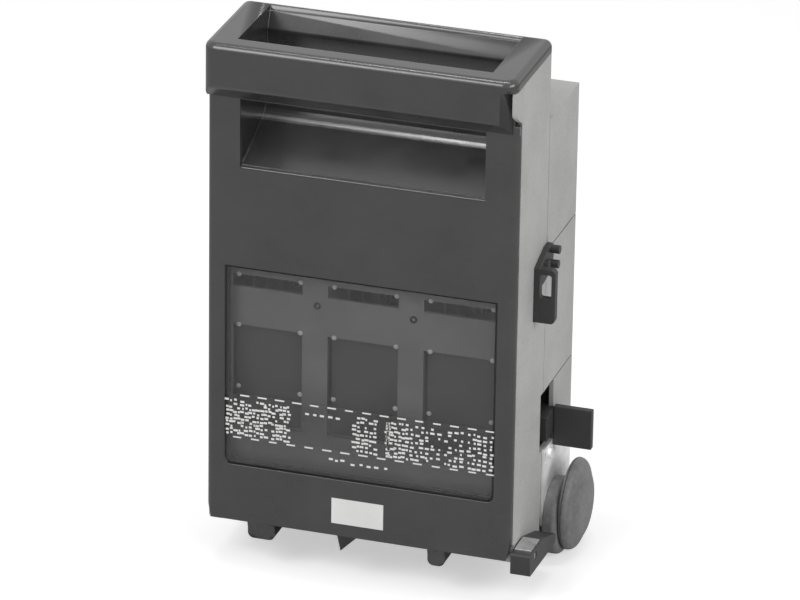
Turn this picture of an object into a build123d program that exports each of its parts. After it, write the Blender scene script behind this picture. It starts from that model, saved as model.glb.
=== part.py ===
from build123d import *
import math
import os

# Three-pole fuse switch disconnector: a swinging front cover carries three blade
# fuse-links out of their contacts. Lengths are in millimetres.
# The pieces are drawn from the middle of the cover's lower front edge: x to the right,
# y to the back, z up. store() moves each piece to the frame of the mounting holes, whose
# origin is the middle of the hole pattern on the back face.

# Outer sizes
width = 200.0
base_height = 272.5
collar_step = 51.5
height = base_height + collar_step
frame_back = 65.0
base_depth = 64.0
base_foot = 18.0
wall = 3.0
back_wall = 5.0

# Clearances, and how far the cutters run past a surface
moving_gap = 0.3
fit_gap = 0.2
running_gap = 0.05
past = 1.0

# Poles and fuse-links
pole_pitch = 62.5
pole_count = 3
fuse_length = 135.0
fuse_body_height = 68.0
fuse_body_width = 48.0
fuse_cap_thickness = 2.5
fuse_front = 16.4
fuse_middle_z = 95.0
blade_thickness = 6.0
blade_width = 20.0
gripping_lug_half_width = 8.0
gripping_lug_depth = 2.0
gripping_lug_height = 6.0
claw_beyond_lug = 4.0
indicator_radius = 2.2
indicator_depth = 3.0

# Cover plate, collar and well
plate_thickness = 5.0
plate_edge = 4.5
collar_reach = 10.8
collar_height = 27.3
collar_slope = 10.7
collar_corner = 9.0
aperture_width = 157.6
aperture_depth = 84.0
rim_depth = 7.5
rim_thickness = 3.5
rim_rounding = 4.5
rim_back = 70.0
rim_back_corner = 5.5
well_width = 163.0
well_front = 2.7
well_back = 65.0
scoop_back = 58.0
scoop_rise = 16.0
scoop_wall = 2.2
catch_x = 50.0

# Window, pane and prints
window_width = 177.0
window_bottom = 38.5
window_top = 174.2
ledge_width = 2.5
ledge_thickness = 1.5
pane_thickness = 2.5
gasket_width = 1.3
print_thickness = 0.3
rating_inset = 2.8
rating_z = (58.6, 87.7)
label_half_width = 17.0
label_z = (8.5, 25.8)

# Fuse grid behind the pane
grid_front = 11.0
grid_thickness = 2.5
grid_edge = 7.5
grid_window_width = 39.0
rivet_radius = 1.5
rivet_inset = 3.0
rivet_rows = [164.0, 134.0, 58.5]
probe_radius = 2.5
probe_z = 150.0

# Hinge at the lower edge, with the arm on its right end
hinge_y = 12.0
hinge_z = 1.0
hinge_radius = 3.0
lug_radius = 12.0
ear_radius = 6.5
hinge_lug_places = [(-72.6, -54.8), (46.0, 57.2)]
arm_width = 10.7
arm_top = 6.0
arm_plate_thickness = 1.0

# Contacts
contact_front = 81.0
bar_thickness = 4.0
bar_width = 25.0
leaf_thickness = 2.0
upper_jaw_height = 17.0
lower_jaw_height = 25.0
jaw_cap_gap = 2.5
palm_below_top = 38.5
palm_end = 15.5
lower_palm_z = 11.0
bolt_radius = 5.0
bolt_across_flats = 17.0
washer_thickness = 2.0
contact_screw_radius = 2.0
pillar_half_width = 11.0

# Seams of the base, cut-out in the right side
seam_low = 87.8
seam_high = 183.7
groove_size = 0.8
cutout_y = (60.0, 89.0)
cutout_bottom = 47.8

# Frame screws, arc chambers and partitions
frame_screw_inset = 8.5
frame_screw_rows = [98.0, 173.0]
frame_screw_radius = 2.0
frame_pad = 5.0
partition_thickness = 2.4
partition_foot = 22.0
chamber_half_width = 18.0
chamber_wall = 1.6
chamber_front = 31.0
chamber_height = 37.0
splitter_count = 7
splitter_thickness = 1.0
splitter_height = 10.4

# Mounting holes, from the edges of the base
mount_edge_x = 12.0
mount_edge_z = 25.25
mount_hole_radius = 3.5
bush_wall = 2.5

# Padlock eye
eye_z = (147.5, 183.6)
eye_y = (38.0, 43.0)
eye_reach = 14.0
eye_slot_x = (4.0, 11.4)
eye_slot_z = (164.0, 180.0)
eye_arm_thickness = 3.5
eye_knob_places = [(62.5, 187.5), (60.5, 178.5)]
eye_screw_place = (52.5, 180.0)
side_screw_radius = 2.0

# Bracket, cap and auxiliary switch on the right side
bracket_thickness = 1.5
bracket_y = (65.5, 125.0)
bracket_bottom = -6.0
bracket_screw_places = [(78.2, 41.0), (112.0, 40.0)]
cap_centre = (95.0, 0.0)
cap_radius = 30.0
cap_height = 11.0
drum_centre = (88.0, -6.0)
drum_radius = 25.0
drum_height = 9.5
switch_reach = 15.0
switch_depth = 16.0
flange_reach = 25.3
flange_thickness = 5.0
flange_z = (43.7, 70.5)
plunger_x = 92.5
plunger_z = 60.0
plunger_tip_y = 58.0
plunger_radius = 2.5
plunger_collar_radius = 3.8
plunger_collar_thickness = 2.0
guide_left = 86.5
guide_front = 70.0
guide_z = (52.0, 68.0)
guide_wall = 2.0
spring_room_radius = 4.2

# Places that follow from the sizes
half_width = width / 2
inner_half_width = half_width - wall
base_back = frame_back + base_depth
plate_front = base_back - back_wall
mount_spacing_x = width - 2 * mount_edge_x
mount_spacing_z = base_height + base_foot - 2 * mount_edge_z
mount_z = (base_height - base_foot) / 2
pole_places = [(i - (pole_count - 1) / 2) * pole_pitch for i in range(pole_count)]
pole_names = ["left", "middle", "right"]
seam_places = [-pole_pitch / 2, pole_pitch / 2]
middle_z = (seam_low, seam_high)
cutout_z = (cutout_bottom, seam_low)

# Places on the cover
collar_foot = height - collar_height - collar_slope
aperture_bottom = height - aperture_depth
pane_back = plate_thickness - ledge_thickness
pane_front = pane_back - pane_thickness
grid_half_width = pole_places[-1] + grid_window_width / 2 + grid_edge
grid_z = (window_bottom - 4.0, window_top + 6.0)
grid_back = grid_front + grid_thickness
upper_window_z = (window_top - 19.2, window_top - 1.2)

# Places on the fuse-links, and on the contacts that take them
fuse_body_depth = fuse_body_width
fuse_middle_y = fuse_front + fuse_body_depth / 2
fuse_body_z = (fuse_middle_z - fuse_body_height / 2, fuse_middle_z + fuse_body_height / 2)
fuse_cap_z = (fuse_body_z[0] - fuse_cap_thickness, fuse_body_z[1] + fuse_cap_thickness)
lower_window_z = (fuse_body_z[0] + 1.0, fuse_body_z[1] + 1.0)
gripping_lug_y = (fuse_front + 1.0, fuse_front + 1.0 + gripping_lug_depth)
indicator_z = fuse_body_z[1] - 4.0
claw_height = gripping_lug_height + claw_beyond_lug
upper_jaw_foot = fuse_cap_z[1] + claw_height + 1.5
upper_jaw_z = (upper_jaw_foot, upper_jaw_foot + upper_jaw_height)
lower_jaw_top = fuse_cap_z[0] - jaw_cap_gap
lower_jaw_z = (lower_jaw_top - lower_jaw_height, lower_jaw_top)
upper_palm_z = base_height - palm_below_top
upper_bar_z = (upper_jaw_z[0] - 2.0, upper_palm_z + palm_end)
lower_bar_z = (lower_palm_z - palm_end, lower_jaw_z[1] + 2.0)
bar_back = contact_front + bar_thickness
palm_places = [(x, z) for x in pole_places for z in (upper_palm_z, lower_palm_z)]
pillar_spots = [
    (upper_bar_z[0], upper_jaw_z[1]),
    (upper_palm_z - 40.0, upper_palm_z - 22.0),
    (lower_jaw_z[0] + 3.0, lower_jaw_z[1] - 2.0),
]
contact_screw_places = [(x, (low + high) / 2) for x in pole_places for low, high in pillar_spots]

# Places on the frame, the chambers and the right side
frame_top = height - rim_depth - moving_gap
frame_front = plate_thickness + moving_gap
frame_screw_x = half_width - frame_screw_inset
frame_screw_places = [(side * frame_screw_x, z) for side in (-1, 1) for z in frame_screw_rows]
chamber_y = (chamber_front, contact_front - 3.0)
chamber_top = seam_high - 1.7
chamber_z = (chamber_top - chamber_height, chamber_top)
bracket_face = half_width + bracket_thickness
bracket_z = (bracket_bottom, cutout_bottom)
guide_x = (guide_left, bracket_face)
guide_y = (guide_front, cutout_y[1])


def slab(x, y, z):
    """Block between two corners, each direction given as (low, high)."""
    size = [high - low for low, high in (x, y, z)]
    middle = [(high + low) / 2 for low, high in (x, y, z)]
    return Pos(*middle) * Box(*size)


def along_x(outline, start, end):
    """Outline drawn as (back, up), drawn out from x = start to x = end."""
    return extrude(Plane.YZ.offset(start) * outline, end - start, dir=(1, 0, 0))


def along_y(outline, start, end):
    """Outline drawn as (right, up), drawn out from y = start to y = end."""
    return extrude(Plane.XZ.offset(-start) * outline, end - start, dir=(0, 1, 0))


def along_z(outline, start, end):
    """Outline drawn as (right, back), drawn out from z = start to z = end."""
    return extrude(Plane.XY.offset(start) * outline, end - start, dir=(0, 0, 1))


def rod_x(radius, start, end, y, z):
    return along_x(Pos(y, z) * Circle(radius), start, end)


def rod_y(radius, start, end, x, z):
    return along_y(Pos(x, z) * Circle(radius), start, end)


def area(x, y):
    """Rectangle between (low, high) pairs in the plane of an outline."""
    return Pos((x[0] + x[1]) / 2, (y[0] + y[1]) / 2) * Rectangle(x[1] - x[0], y[1] - y[0])


def rounded_area(x, y, radius):
    middle = Pos((x[0] + x[1]) / 2, (y[0] + y[1]) / 2)
    return middle * RectangleRounded(x[1] - x[0], y[1] - y[0], radius)


def outline_of(points, radii):
    """Closed outline with a rounding at each point; a radius of 0 keeps the corner."""
    return make_face(FilletPolyline(*points, radius=radii, close=True))


def around(middle, half):
    """(low, high) pair round a middle value."""
    return (middle - half, middle + half)


def on_side(side, near, far):
    """(low, high) pair between two distances from the middle, on the side -1 or 1."""
    return tuple(sorted((side * near, side * far)))


def group(pieces):
    return Compound(children=[solid for piece in pieces for solid in piece.solids()])


def store(name, piece):
    to_mount = Location((0, -base_back, -mount_z))
    solids = [solid.moved(to_mount) for solid in piece.solids()]
    shape = solids[0] if len(solids) == 1 else Compound(children=solids)
    shape.label = name
    export_step(shape, f"parts/{name}.step")


# Cover: one moulding with the front plate, the grip collar and the well behind it
def cover_plate():
    taper = 3.0
    taper_height = 10.0
    plate_top = height - collar_height
    outline = Polygon(
        (-half_width + taper, 0),
        (half_width - taper, 0),
        (half_width, taper_height),
        (half_width, plate_top),
        (-half_width, plate_top),
        (-half_width, taper_height),
        align=None,
    )
    points = [
        (-half_width, 0),
        (half_width, 0),
        (half_width, plate_thickness),
        (-half_width, plate_thickness),
    ]
    section = outline_of(points, [plate_edge, plate_edge, 0, 0])
    plate = along_y(outline, 0, plate_thickness) & along_z(section, 0, height)
    aperture = area(around(0, aperture_width / 2), (aperture_bottom, collar_foot))
    plate -= along_y(aperture, -past, plate_thickness + past)
    plate -= along_y(window_outline(0), -past, pane_back)
    plate -= along_y(window_outline(ledge_width), -past, plate_thickness + past)
    return plate


def window_outline(inset):
    """Window with rounded lower corners, drawn inwards by the inset."""
    corner = 5.0
    half = window_width / 2 - inset
    low = window_bottom + inset
    high = window_top - inset
    points = [(-half, high), (-half, low), (half, low), (half, high)]
    return outline_of(points, [0, corner, corner, 0])


def head_block():
    """Outside of the collar and the rim behind it, rounded along the top edge."""
    points = [
        (-half_width, -collar_reach),
        (half_width, -collar_reach),
        (half_width, rim_back),
        (-half_width, rim_back),
    ]
    corners = [collar_corner, collar_corner, rim_back_corner, rim_back_corner]
    block = along_z(outline_of(points, corners), collar_foot - past, height)
    return fillet(block.edges().group_by(Axis.Z)[-1], rim_rounding)


def grip_collar():
    """Bar over the aperture, with a sloped underside."""
    points = [
        (-collar_reach, height),
        (-collar_reach, height - collar_height),
        (0, collar_foot),
        (well_front, collar_foot),
        (well_front, height),
    ]
    bar = along_x(outline_of(points, [0, 8.0, 3.0, 0, 0]), -half_width, half_width)
    return bar & head_block()


def top_rim():
    """Flat rim round the mouth of the well, with a skirt down its outside."""
    skirt_wall = 3.0
    rim = head_block() & slab(around(0, width), (0, base_back), (height - rim_depth, height))
    room = area(around(0, half_width - skirt_wall), (well_front, rim_back - skirt_wall))
    rim -= along_z(room, height - rim_depth - past, height - rim_thickness)
    mouth = area(around(0, well_width / 2), (well_front, well_back))
    return rim - along_z(mouth, height - rim_depth - past, height + past)


def scoop_outline(outset):
    """Space of the well from the side: a floor that curves up into the back wall."""
    flare_z = height - 15.0
    back_lean = 1.3
    points = [
        (well_front, aperture_bottom),
        (scoop_back, aperture_bottom + scoop_rise),
        (scoop_back + back_lean, flare_z),
        (well_back, height),
        (well_front, height),
    ]
    inner = outline_of(points, [0, 16.0, 8.0, 0, 0])
    return offset(inner, outset) if outset else inner


def grip_well():
    """Thin walls behind the aperture: curved scoop and two end walls."""
    outer_half = well_width / 2 + scoop_wall
    shell = along_x(scoop_outline(scoop_wall), -outer_half, outer_half)
    shell -= along_x(scoop_outline(0), -well_width / 2, well_width / 2)
    keep = slab(around(0, width), (plate_thickness, base_back), (0, height - rim_thickness))
    return shell & keep


def cover_ribs():
    """Stiffening skirt inside the plate and the surround that carries the fuse grid."""
    skirt_depth = 8.0
    skirt_wall = 2.0
    skirt_half = half_width - 5.0
    skirt_z = (hinge_z + lug_radius, aperture_bottom - 6.0)
    skirt = area(around(0, skirt_half), skirt_z)
    skirt -= area(around(0, skirt_half - skirt_wall), (skirt_z[0] + skirt_wall, skirt_z[1] - skirt_wall))
    ribs = along_y(skirt, plate_thickness, plate_thickness + skirt_depth)
    room_z = (grid_z[0] - moving_gap, grid_z[1] + moving_gap)
    ribs -= slab(around(0, grid_half_width + moving_gap), (grid_front - moving_gap, frame_back), room_z)
    surround_wall = 1.6
    inner_z = (grid_z[0] + surround_wall, grid_z[1] - surround_wall)
    surround = area(around(0, grid_half_width), grid_z)
    surround -= area(around(0, grid_half_width - surround_wall), inner_z)
    return ribs + along_y(surround, plate_thickness, grid_front)


def hinge_lugs():
    """Two rounded hinge lugs and a pointed stop rib under the lower edge."""
    lugs = []
    for left, right in hinge_lug_places:
        eye = Pos(hinge_y, hinge_z) * Circle(lug_radius)
        web = area((1.0, hinge_y), around(hinge_z, lug_radius))
        front = rounded_area((left, right), (hinge_z - lug_radius, 2 * lug_radius), 4.0)
        lug = along_x(eye + web, left, right) & along_y(front, 0, 2 * hinge_y)
        lugs.append(lug)
    tip_z = hinge_z - lug_radius + 0.5
    rib = Polygon((-13.5, 0.5), (-11.0, tip_z), (0, 0.5), align=None)
    lugs.append(along_y(rib, 0.6, plate_thickness))
    return lugs


def switch_finger():
    """Rib that reaches back to the plunger of the auxiliary switch."""
    finger_thickness = 4.0
    tip_half = 3.0
    root_half = 10.0
    points = [
        (plate_thickness, plunger_z - root_half),
        (plunger_tip_y - moving_gap, plunger_z - tip_half),
        (plunger_tip_y - moving_gap, plunger_z + tip_half),
        (plate_thickness, plunger_z + root_half),
    ]
    return along_x(Polygon(*points, align=None), *around(plunger_x, finger_thickness / 2))


def cover():
    body = cover_plate() + grip_collar() + top_rim() + grip_well() + cover_ribs()
    for lug in hinge_lugs():
        body += lug
    body += switch_finger()
    return body - rod_x(hinge_radius, -half_width, half_width, hinge_y, hinge_z)


def grip_catch():
    """Catch on the back wall of the well, under the fingers."""
    catch_half_width = 7.0
    catch_depth = 2.6
    catch_rise = 42.0
    catch_height = 14.0
    foot = aperture_bottom + catch_rise
    catch_z = (foot, foot + catch_height)
    outline = rounded_area(around(catch_x, catch_half_width), catch_z, 2.0)
    block = along_y(outline, scoop_back - catch_depth, well_back)
    return block & along_x(scoop_outline(0), -half_width, half_width)


# Window pane with its gasket, printed band and label
def pane_outline(gap):
    half = window_width / 2 - gasket_width - gap
    low = window_bottom + gasket_width + gap
    high = window_top - gasket_width - gap
    return outline_of([(-half, high), (-half, low), (half, low), (half, high)], [0, 4.0, 4.0, 0])


def viewing_pane():
    return along_y(pane_outline(fit_gap / 2), pane_front, pane_back)


def pane_gasket():
    gasket_depth = 1.4
    ring = window_outline(fit_gap / 2) - pane_outline(0)
    return along_y(ring, pane_back - gasket_depth, pane_back)


def rating_plate():
    outline = area(around(0, window_width / 2 - rating_inset), rating_z)
    return along_y(outline, pane_front - print_thickness, pane_front)


def name_label():
    return along_y(area(around(0, label_half_width), label_z), -print_thickness, 0)


# Fuse grid behind the pane, with rivets, probe plugs and claws
def rivet_places():
    reach = grid_window_width / 2 + rivet_inset
    return [(x + side * reach, z) for x in pole_places for side in (-1, 1) for z in rivet_rows]


def fuse_grid():
    outline = rounded_area(around(0, grid_half_width), grid_z, 2.0)
    for x in pole_places:
        window_x = around(x, grid_window_width / 2)
        outline -= rounded_area(window_x, upper_window_z, 1.0)
        outline -= rounded_area(window_x, lower_window_z, 1.0)
    grid = along_y(outline, grid_front, grid_back)
    for x, z in rivet_places():
        grid -= rod_y(rivet_radius / 2, grid_front - past, grid_back + past, x, z)
    for x in seam_places:
        grid -= rod_y(probe_radius, grid_front - past, grid_back + past, x, probe_z)
    return grid


def grid_rivets():
    head_height = 0.9
    rivets = []
    for x, z in rivet_places():
        shank = rod_y(rivet_radius / 2, grid_front, grid_back, x, z)
        rivets.append(shank + rod_y(rivet_radius, grid_front - head_height, grid_front, x, z))
    return group(rivets)


def probe_plugs():
    hole_radius = 1.0
    hole_depth = 1.5
    flange_height = 1.0
    plugs = []
    for x in seam_places:
        plug = rod_y(probe_radius, grid_front, grid_back, x, probe_z)
        plug -= rod_y(hole_radius, grid_front - past, grid_front + hole_depth, x, probe_z)
        plugs.append(plug + rod_y(probe_radius + 1.5, grid_back, grid_back + flange_height, x, probe_z))
    return group(plugs)


def fuse_claws():
    """Blocks on the back of the grid whose slots take the gripping lugs of the fuses."""
    claw_half_width = 12.0
    claw_back = gripping_lug_y[1] + 3.0
    slot_half_width = gripping_lug_half_width + fit_gap
    slot_y = (gripping_lug_y[0] - fit_gap, gripping_lug_y[1] + fit_gap)
    claws = []
    for x in pole_places:
        for side in (-1, 1):
            place = Pos(x, 0, fuse_middle_z)
            seat = fuse_body_height / 2 + fuse_cap_thickness
            claw_z = on_side(side, seat + moving_gap, seat + claw_height)
            slot_z = on_side(side, seat - past, seat + gripping_lug_height + fit_gap)
            claw = slab(around(0, claw_half_width), (grid_back, claw_back), claw_z)
            claws.append(place * (claw - slab(around(0, slot_half_width), slot_y, slot_z)))
    return group(claws)


# Blade fuse-links: ceramic body, end plates with gripping lugs, knife blades
def fuse_section(x, inset, radius):
    """Section of a fuse body seen from above, drawn inwards by the inset."""
    middle = (x, fuse_middle_y)
    halves = (fuse_body_width / 2 - inset, fuse_body_depth / 2 - inset)
    return rounded_area(around(middle[0], halves[0]), around(middle[1], halves[1]), radius)


def fuse_body(x):
    edge = 5.0
    waist = 1.2
    waist_end = 8.0
    body = along_z(fuse_section(x, 0, edge), *fuse_body_z)
    band = fuse_section(x, 0, edge) - fuse_section(x, waist, edge)
    body -= along_z(band, fuse_body_z[0] + waist_end, fuse_body_z[1] - waist_end)
    return body - rod_y(indicator_radius, fuse_front - past, fuse_front + indicator_depth, x, indicator_z)


def fuse_indicators():
    proud = 0.6
    back = fuse_front + indicator_depth
    return group(rod_y(indicator_radius, fuse_front - proud, back, x, indicator_z) for x in pole_places)


def fuse_caps(x):
    inset = 1.0
    plates = []
    for side in (-1, 1):
        near = fuse_body_height / 2
        far = near + fuse_cap_thickness
        cap_z = on_side(side, near, far)
        lug_z = on_side(side, near, far + gripping_lug_height)
        plate = along_z(fuse_section(x, inset, 4.0), *cap_z)
        plate += slab(around(x, gripping_lug_half_width), gripping_lug_y, lug_z)
        plates.append(Pos(0, 0, fuse_middle_z) * plate)
    return group(plates)


def fuse_blades():
    """Knife blades with chamfered free ends, one above and one below each body."""
    chamfer_size = 5.0
    low = fuse_middle_y - blade_width / 2
    high = fuse_middle_y + blade_width / 2
    blades = []
    for x in pole_places:
        for side in (-1, 1):
            root = fuse_middle_z + side * (fuse_body_height / 2 + fuse_cap_thickness)
            tip = fuse_middle_z + side * fuse_length / 2
            outline = Polygon(
                (low, root),
                (high, root),
                (high, tip - side * chamfer_size),
                (high - chamfer_size, tip),
                (low + chamfer_size, tip),
                (low, tip - side * chamfer_size),
                align=None,
            )
            blades.append(along_x(outline, *around(x, blade_thickness / 2)))
    return group(blades)


# Hinge shaft with the switch arm on its right end
def hinge_shaft():
    end_beyond_arm = 1.5
    right_end = half_width + moving_gap + arm_width + end_beyond_arm
    return rod_x(hinge_radius, -half_width + 1.0, right_end, hinge_y, hinge_z)


def switch_arm():
    """Tapering arm along the right side, level over the hinge and sloping down behind it."""
    points = [(0, -8.5), (0, arm_top), (26.0, arm_top), (56.0, -3.5), (56.0, -10.0)]
    start = half_width + moving_gap
    arm = along_x(outline_of(points, [1.5, 2.0, 10.0, 2.0, 2.0]), start, start + arm_width)
    return arm - rod_x(hinge_radius, start - past, start + arm_width + past, hinge_y, hinge_z)


def arm_plate():
    """Metal strip on the top of the arm."""
    strip_inset = 0.8
    strip_y = (5.5, 23.5)
    start = half_width + moving_gap
    strip = area((start + strip_inset, start + arm_width - strip_inset), strip_y)
    return along_z(strip, arm_top, arm_top + arm_plate_thickness)


# Front frame: side walls, bottom rail and top rear wall round the moving cover
def side_wall_outline():
    """Side wall whose lower edge slopes down to the base's foot, with a round ear for the hinge."""
    front_foot = 9.0
    points = [
        (frame_front, frame_top),
        (frame_back, frame_top),
        (frame_back, -base_foot),
        (frame_front, front_foot),
    ]
    return Polygon(*points, align=None) + Pos(hinge_y, hinge_z) * Circle(ear_radius)


def front_frame():
    rail_front = 57.0
    rail_z = (4.0 - base_foot, 4.0 + wall - base_foot)
    boss_height = 4.0
    flange = 5.0
    flange_y = (frame_back - wall, frame_back)
    rear_wall_foot = base_height - 4.0
    rear_wall_top = height - 20.0
    pad_half = 6.0
    frame = slab(around(0, half_width), (rail_front, frame_back), rail_z)
    frame += slab(around(0, half_width), flange_y, (rear_wall_foot, rear_wall_top))
    for side in (-1, 1):
        frame += along_x(side_wall_outline(), *on_side(side, inner_half_width, half_width))
        strip = on_side(side, inner_half_width, inner_half_width - flange)
        frame += slab(strip, flange_y, (-base_foot, rear_wall_foot))
        boss_x = on_side(side, inner_half_width, inner_half_width - boss_height)
        frame += rod_x(ear_radius, *boss_x, hinge_y, hinge_z)
        for z in frame_screw_rows:
            pad = on_side(side, inner_half_width, frame_screw_x - frame_screw_radius - 1.0)
            frame += slab(pad, (frame_back - frame_pad, frame_back), around(z, pad_half))
    for x, z in frame_screw_places:
        frame -= rod_y(frame_screw_radius + fit_gap, frame_back - frame_pad - past, frame_back + past, x, z)
    frame -= slab((inner_half_width - flange - past, width), (cutout_y[0], frame_back + past), cutout_z)
    return frame - rod_x(hinge_radius + running_gap, -width, width, hinge_y, hinge_z)


# Rear base: back plate, middle side walls and pillars for the contacts
def mount_places():
    reach = (mount_spacing_x / 2, mount_spacing_z / 2)
    return [(sx * reach[0], mount_z + sz * reach[1]) for sx in (-1, 1) for sz in (-1, 1)]


def side_grooves(y, z):
    """Shallow cuts in the outside of both side walls, between (low, high) pairs."""
    left = slab((-half_width - past, -half_width + groove_size), y, z)
    return left + mirror(left, Plane.YZ)


def rear_base():
    boss_radius = 4.5
    boss_web = 2.0
    screw_depth = 14.0
    contact_screw_depth = 12.0
    guide_half = 3.2
    guide_depth = 8.0
    plate_z = (-base_foot, base_height - wall - fit_gap)
    plate = rounded_area(around(0, inner_half_width - fit_gap), plate_z, 2.0)
    plate += area(around(0, half_width), middle_z)
    base = along_y(plate, plate_front, base_back)
    for side in (-1, 1):
        base += slab(on_side(side, inner_half_width, half_width), (frame_back, plate_front), middle_z)
    for x, z in frame_screw_places:
        web_x = on_side(math.copysign(1, x), frame_screw_x, half_width - 1.0)
        boss = rod_y(boss_radius, frame_back, plate_front, x, z)
        boss += slab(web_x, (frame_back, plate_front), around(z, boss_web))
        base += boss - rod_y(frame_screw_radius, frame_back - past, frame_back + screw_depth, x, z)
    for x in pole_places:
        for low, high in pillar_spots:
            pillar = rounded_area(around(x, pillar_half_width), (low, high), 2.0)
            base += along_y(pillar, bar_back, plate_front)
    for x in seam_places:
        guide_y_pair = (plate_front - guide_depth, plate_front)
        guide = slab(around(x, guide_half), guide_y_pair, (seam_low + 1.0, seam_high - 1.0))
        groove_x = around(x, partition_thickness / 2 + fit_gap)
        base += guide - slab(groove_x, (guide_y_pair[0] - past, plate_front), (0, base_height))
    for x, z in mount_places():
        base -= rod_y(mount_hole_radius + bush_wall, plate_front - past, base_back + past, x, z)
    for x, z in contact_screw_places:
        base -= rod_y(contact_screw_radius, bar_back - past, bar_back + contact_screw_depth, x, z)
    return base - side_grooves((frame_back - past, frame_back + groove_size), middle_z)


def pole_partitions():
    """Insulating walls between the poles, from the base's back plate to the cover."""
    front = grid_back + 2.5
    foot_back = frame_back - moving_gap
    low = seam_low + fit_gap
    high = seam_high - fit_gap
    points = [
        (front, partition_foot + 12.0),
        (front + 10.0, partition_foot),
        (foot_back, partition_foot),
        (foot_back, low),
        (plate_front, low),
        (plate_front, high),
        (front + 14.0, high),
        (front, high - 14.0),
    ]
    walls = []
    for x in seam_places:
        walls.append(along_x(Polygon(*points, align=None), *around(x, partition_thickness / 2)))
    return group(walls)


def mounting_bushes():
    bushes = []
    for x, z in mount_places():
        bush = rod_y(mount_hole_radius + bush_wall, plate_front, base_back, x, z)
        bushes.append(bush - rod_y(mount_hole_radius, plate_front - past, base_back + past, x, z))
    return group(bushes)


# Terminal covers above and below the middle of the base
def terminal_cover_top():
    rib_half = 1.2
    knockout_radius = 15.0
    knockout_line = 1.0
    knockout_depth = 0.6
    room_y = (frame_back + wall, base_back + past)
    outer = slab(around(0, half_width), (frame_back, base_back), (seam_high, base_height))
    shell = outer - slab(around(0, inner_half_width), room_y, (0, base_height - wall))
    for x in seam_places:
        rib_y = (frame_back + 1.0, plate_front)
        shell += slab(around(x, rib_half), rib_y, (seam_high + 2.0, base_height - 1.0))
    for x in pole_places:
        ring = Circle(knockout_radius) - Circle(knockout_radius - knockout_line)
        spot = Pos(x, (frame_back + base_back) / 2) * ring
        shell -= along_z(spot, base_height - knockout_depth, base_height + past)
    shell -= side_grooves((frame_back - past, frame_back + groove_size), (0, height))
    return shell - side_grooves((0, base_back + past), (seam_high - past, seam_high + groove_size))


def terminal_cover_bottom():
    opening_half = 15.0
    cable_half = 17.0
    cable_y = (frame_back + 9.0, plate_front - 6.0)
    foot_z = (-base_foot - past, -base_foot + wall)
    room_y = (frame_back + wall, base_back + past)
    outer = slab(around(0, half_width), (frame_back, base_back), (-base_foot, seam_low))
    outer -= slab(around(0, width), (plate_front, base_back + past), foot_z)
    shell = outer - slab(around(0, inner_half_width), room_y, (foot_z[1], base_height))
    for x in pole_places:
        opening = rounded_area(around(x, opening_half), (lower_jaw_z[0] - 5.0, seam_low - 18.0), 2.0)
        shell -= along_y(opening, frame_back - past, frame_back + wall + past)
        cable = rounded_area(around(x, cable_half), cable_y, 6.0)
        shell -= along_z(cable, foot_z[0], foot_z[1] + past)
    notch_x = (guide_x[0] - fit_gap, half_width + past)
    shell -= slab(notch_x, (frame_back - past, cutout_y[1]), (cutout_z[0], base_height))
    shell -= side_grooves((frame_back - past, frame_back + groove_size), (-height, height))
    return shell - side_grooves((0, base_back + past), (seam_low - groove_size, seam_low + past))


# Contacts: copper bars, sprung jaws, screws and terminal bolts
def contact_bars(span, palm_z):
    cut = (contact_front - past, bar_back + past)
    bars = []
    for x in pole_places:
        bar = slab(around(x, bar_width / 2), (contact_front, bar_back), span)
        bar -= rod_y(bolt_radius + fit_gap, *cut, x, palm_z)
        for low, high in pillar_spots:
            middle = (low + high) / 2
            if span[0] < middle < span[1]:
                bar -= rod_y(contact_screw_radius + fit_gap, *cut, x, middle)
        bars.append(bar)
    return group(bars)


def mirrored_pairs(path, thickness, span):
    """One strip on each side of every pole, bent along the given path."""
    strip = along_z(trace(path, thickness), *span)
    pair = [strip, mirror(strip, Plane.YZ)]
    return [Pos(x, 0, 0) * side for x in pole_places for side in pair]


def contact_jaws(span):
    """Two leaves per pole, from the riveted foot to the flared mouth."""
    pinch = blade_thickness / 2 + moving_gap + leaf_thickness / 2
    foot_y = contact_front - leaf_thickness / 2
    path = Polyline(
        (11.0, foot_y),
        (pinch + 2.2, foot_y),
        (pinch + 1.4, fuse_middle_y + 14.0),
        (pinch, fuse_middle_y + 2.0),
        (pinch + 3.0, fuse_middle_y - blade_width / 2 - 2.5),
    )
    return group(mirrored_pairs(path, leaf_thickness, span))


def jaw_springs():
    """Steel strips riveted over the feet of the leaves, pressing them on the blade."""
    spring_thickness = 0.8
    spring_inset = 3.0
    leaf_face = blade_thickness / 2 + moving_gap + leaf_thickness
    foot_y = contact_front - leaf_thickness - spring_thickness / 2
    path = Polyline(
        (12.0, foot_y),
        (leaf_face + 4.2, foot_y),
        (leaf_face + 2.6, fuse_middle_y + 14.0),
        (leaf_face + 0.8, fuse_middle_y + 3.0),
    )
    springs = []
    for low, high in (upper_jaw_z, lower_jaw_z):
        springs += mirrored_pairs(path, spring_thickness, (low + spring_inset, high - spring_inset))
    return group(springs)


def contact_screws():
    head_height = 2.4
    head_radius = 3.6
    shank_beyond_bar = 11.0
    screws = []
    for x, z in contact_screw_places:
        shank = rod_y(contact_screw_radius, contact_front, bar_back + shank_beyond_bar, x, z)
        screws.append(shank + rod_y(head_radius, contact_front - head_height, contact_front, x, z))
    return group(screws)


def hexagon_y(start, end, x, z):
    outline = Pos(x, z) * RegularPolygon(bolt_across_flats / 2, 6, major_radius=False)
    return along_y(outline, start, end)


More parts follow.
